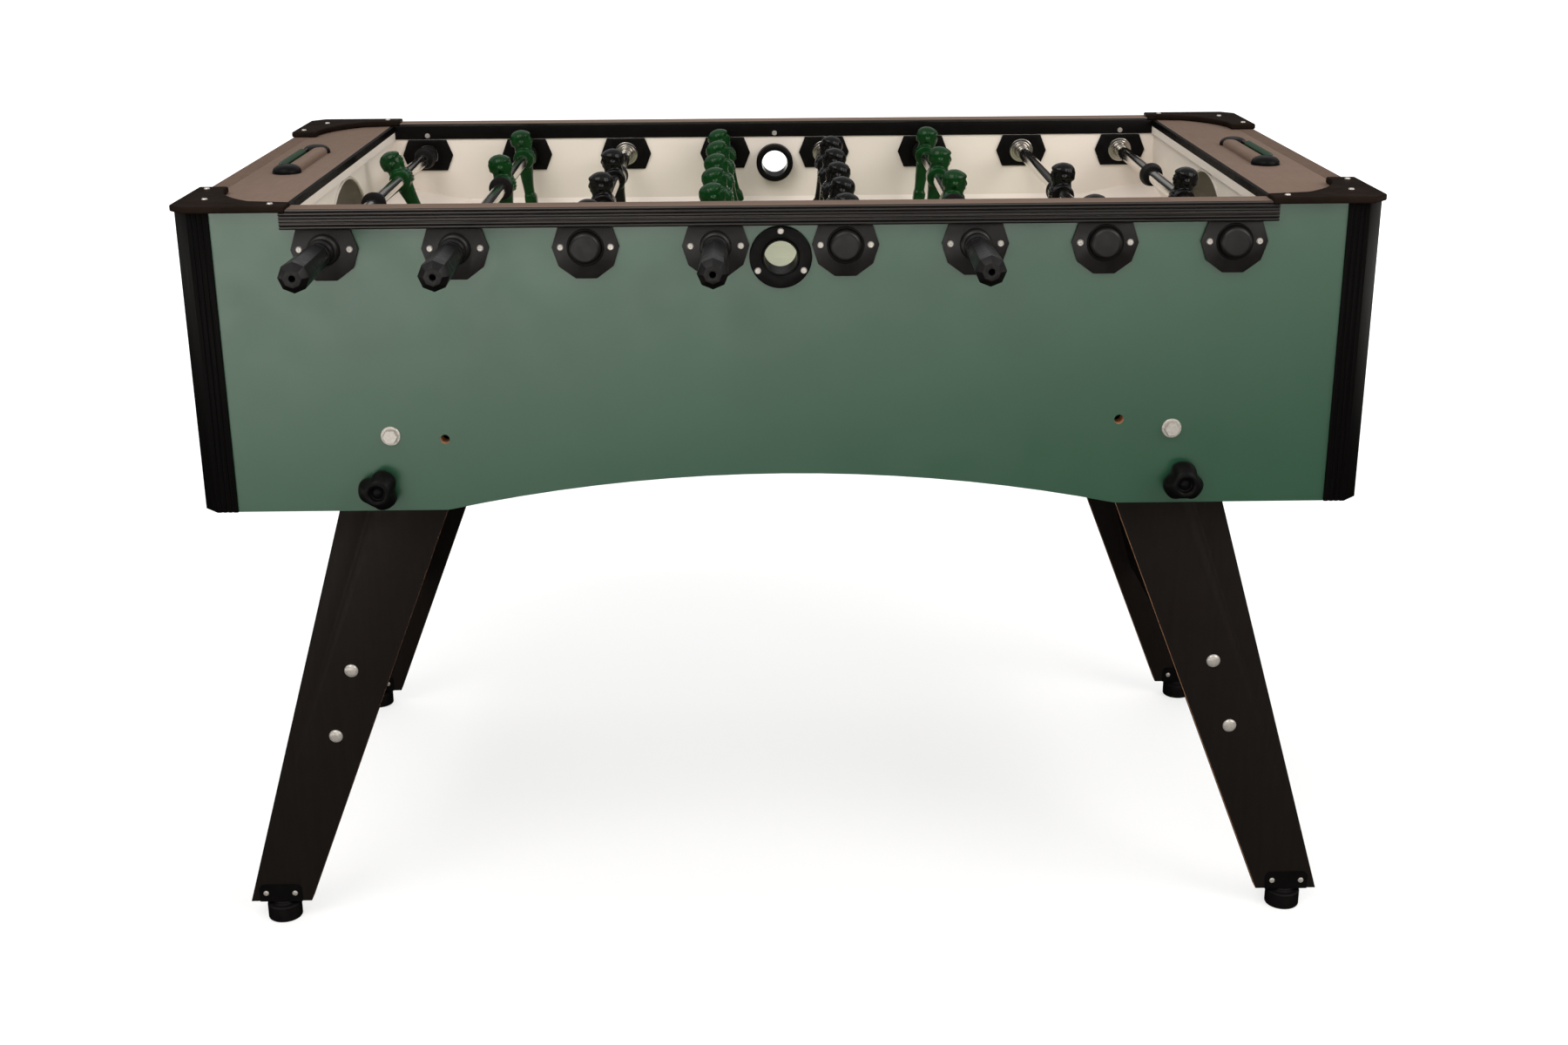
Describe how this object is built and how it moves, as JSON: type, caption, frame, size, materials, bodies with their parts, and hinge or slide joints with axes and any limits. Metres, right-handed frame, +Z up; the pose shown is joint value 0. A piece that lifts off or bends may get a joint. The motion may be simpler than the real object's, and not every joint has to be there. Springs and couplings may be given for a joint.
{
  "type": "foosball table",
  "caption": "Folding table football game: boarded cabinet with a sunken field, sliding and turning rods with men, end goals, score counters and splayed folding legs.",
  "frame": {"origin": "on the floor, in the middle of the four feet", "axes": "+X along the table's length to the right of a player at the front, +Y from the front to the back, +Z up"},
  "size_m": [1.37, 1.124, 0.9285],
  "materials": {
    "green_board": "green laminate on board",
    "white_board": "warm white laminate",
    "field_board": "green printed board",
    "taupe_board": "taupe laminate",
    "black_board": "black laminate",
    "black_profile": "black coated extrusion",
    "black_plastic": "satin",
    "grey_plastic": "satin",
    "white_plastic": "satin",
    "taupe_plastic": "satin",
    "green_plastic": "gloss",
    "green_men": "gloss",
    "black_men": "gloss",
    "black_rubber": "moulded",
    "chrome": "polished",
    "steel": "bright zinc"
  },
  "bodies": {
    "cabinet": {"front_panel": "green_board", "back_panel": "green_board", "end_panels": "green_board", "corner_posts": "black_profile", "end_walls": "white_board", "playfield": "field_board", "field_ramps": "white_plastic", "goal_pockets": "grey_plastic", "top_rails": "black_profile", "top_boards": "taupe_board", "corner_caps": "black_plastic", "bearing_housings": "black_plastic", "inner_plates": "black_plastic", "metal_fittings": "steel", "ball_entries": "black_plastic", "score_frames": "taupe_plastic"},
    "rod_1_core": {"rod_1_shaft": "steel"},
    "rod_1": {"rod_1_tube": "chrome", "rod_1_men": "green_men", "rod_1_grip_bumpers": "black_rubber"},
    "rod_2_core": {"rod_2_shaft": "steel"},
    "rod_2": {"rod_2_tube": "chrome", "rod_2_men": "green_men", "rod_2_grip_bumpers": "black_rubber"},
    "rod_3_core": {"rod_3_shaft": "steel"},
    "rod_3": {"rod_3_tube": "chrome", "rod_3_men": "black_men", "rod_3_grip_bumpers": "black_rubber"},
    "rod_4_core": {"rod_4_shaft": "steel"},
    "rod_4": {"rod_4_tube": "chrome", "rod_4_men": "green_men", "rod_4_grip_bumpers": "black_rubber"},
    "rod_5_core": {"rod_5_shaft": "steel"},
    "rod_5": {"rod_5_tube": "chrome", "rod_5_men": "black_men", "rod_5_grip_bumpers": "black_rubber"},
    "rod_6_core": {"rod_6_shaft": "steel"},
    "rod_6": {"rod_6_tube": "chrome", "rod_6_men": "green_men", "rod_6_grip_bumpers": "black_rubber"},
    "rod_7_core": {"rod_7_shaft": "steel"},
    "rod_7": {"rod_7_tube": "chrome", "rod_7_men": "black_men", "rod_7_grip_bumpers": "black_rubber"},
    "rod_8_core": {"rod_8_shaft": "steel"},
    "rod_8": {"rod_8_tube": "chrome", "rod_8_men": "black_men", "rod_8_grip_bumpers": "black_rubber"},
    "left_legs": {"left_leg_frame": "black_board", "left_leg_hardware": "steel"},
    "left_knobs": {"left_lock_knobs": "black_plastic"},
    "front_left_foot_screw": {"front_left_foot": "black_rubber"},
    "back_left_foot_screw": {"back_left_foot": "black_rubber"},
    "left_score": {"left_beads": "green_plastic"},
    "right_legs": {"right_leg_frame": "black_board", "right_leg_hardware": "steel"},
    "right_knobs": {"right_lock_knobs": "black_plastic"},
    "front_right_foot_screw": {"front_right_foot": "black_rubber"},
    "back_right_foot_screw": {"back_right_foot": "black_rubber"},
    "right_score": {"right_beads": "green_plastic"}
  },
  "joints": [
    {"name": "rod_1_spin", "type": "hinge", "parent": "cabinet", "child": "rod_1_core", "pos_m": [-0.51275, 0, 0.8747], "axis": [0, 1, 0], "range_deg": [-180, 61]},
    {"name": "rod_1_slide", "type": "slide", "parent": "rod_1_core", "child": "rod_1", "axis": [0, 1, 0], "range_m": [-0.248, 0.002]},
    {"name": "rod_2_spin", "type": "hinge", "parent": "cabinet", "child": "rod_2_core", "pos_m": [-0.36625, 0, 0.8747], "axis": [0, 1, 0], "continuous": true},
    {"name": "rod_2_slide", "type": "slide", "parent": "rod_2_core", "child": "rod_2", "axis": [0, 1, 0], "range_m": [-0.382, 0.001]},
    {"name": "rod_3_spin", "type": "hinge", "parent": "cabinet", "child": "rod_3_core", "pos_m": [-0.21975, 0, 0.8747], "axis": [0, 1, 0], "continuous": true},
    {"name": "rod_3_slide", "type": "slide", "parent": "rod_3_core", "child": "rod_3", "axis": [0, 1, 0], "range_m": [-0.018, 0.2]},
    {"name": "rod_4_spin", "type": "hinge", "parent": "cabinet", "child": "rod_4_core", "pos_m": [-0.07325, 0, 0.8747], "axis": [0, 1, 0], "continuous": true},
    {"name": "rod_4_slide", "type": "slide", "parent": "rod_4_core", "child": "rod_4", "axis": [0, 1, 0], "range_m": [-0.135, 0.001]},
    {"name": "rod_5_spin", "type": "hinge", "parent": "cabinet", "child": "rod_5_core", "pos_m": [0.07325, 0, 0.8747], "axis": [0, 1, 0], "continuous": true},
    {"name": "rod_5_slide", "type": "slide", "parent": "rod_5_core", "child": "rod_5", "axis": [0, 1, 0], "range_m": [-0.05, 0.086]},
    {"name": "rod_6_spin", "type": "hinge", "parent": "cabinet", "child": "rod_6_core", "pos_m": [0.21975, 0, 0.8747], "axis": [0, 1, 0], "continuous": true},
    {"name": "rod_6_slide", "type": "slide", "parent": "rod_6_core", "child": "rod_6", "axis": [0, 1, 0], "range_m": [-0.217, 0.001]},
    {"name": "rod_7_spin", "type": "hinge", "parent": "cabinet", "child": "rod_7_core", "pos_m": [0.36625, 0, 0.8747], "axis": [0, 1, 0], "continuous": true},
    {"name": "rod_7_slide", "type": "slide", "parent": "rod_7_core", "child": "rod_7", "axis": [0, 1, 0], "range_m": [-0.02, 0.363]},
    {"name": "rod_8_spin", "type": "hinge", "parent": "cabinet", "child": "rod_8_core", "pos_m": [0.51275, 0, 0.8747], "axis": [0, 1, 0], "range_deg": [-41, 200]},
    {"name": "rod_8_slide", "type": "slide", "parent": "rod_8_core", "child": "rod_8", "axis": [0, 1, 0], "range_m": [-0.032, 0.218]},
    {"name": "left_legs_fold", "type": "hinge", "parent": "cabinet", "child": "left_legs", "pos_m": [-0.455, 0, 0.6547], "axis": [0, -1, 0], "range_deg": [0, 99.5]},
    {"name": "left_knobs_turn", "type": "hinge", "parent": "cabinet", "child": "left_knobs", "pos_m": [-0.46981, 0, 0.59347], "axis": [0, 1, 0], "continuous": true},
    {"name": "front_left_foot_turn", "type": "hinge", "parent": "left_legs", "child": "front_left_foot_screw", "pos_m": [-0.645, -0.331, 0], "axis": [0, 0, 1], "continuous": true},
    {"name": "back_left_foot_turn", "type": "hinge", "parent": "left_legs", "child": "back_left_foot_screw", "pos_m": [-0.645, 0.331, 0], "axis": [0, 0, 1], "continuous": true},
    {"name": "left_beads_slide", "type": "slide", "parent": "cabinet", "child": "left_score", "axis": [0, 1, 0], "range_m": [0, 0.017]},
    {"name": "right_legs_fold", "type": "hinge", "parent": "cabinet", "child": "right_legs", "pos_m": [0.455, 0, 0.6547], "axis": [0, 1, 0], "range_deg": [0, 114]},
    {"name": "right_knobs_turn", "type": "hinge", "parent": "cabinet", "child": "right_knobs", "pos_m": [0.46981, 0, 0.59347], "axis": [0, 1, 0], "continuous": true},
    {"name": "front_right_foot_turn", "type": "hinge", "parent": "right_legs", "child": "front_right_foot_screw", "pos_m": [0.645, -0.331, 0], "axis": [0, 0, 1], "continuous": true},
    {"name": "back_right_foot_turn", "type": "hinge", "parent": "right_legs", "child": "back_right_foot_screw", "pos_m": [0.645, 0.331, 0], "axis": [0, 0, 1], "continuous": true},
    {"name": "right_beads_slide", "type": "slide", "parent": "cabinet", "child": "right_score", "axis": [0, 1, 0], "range_m": [0, 0.017]}
  ]
}
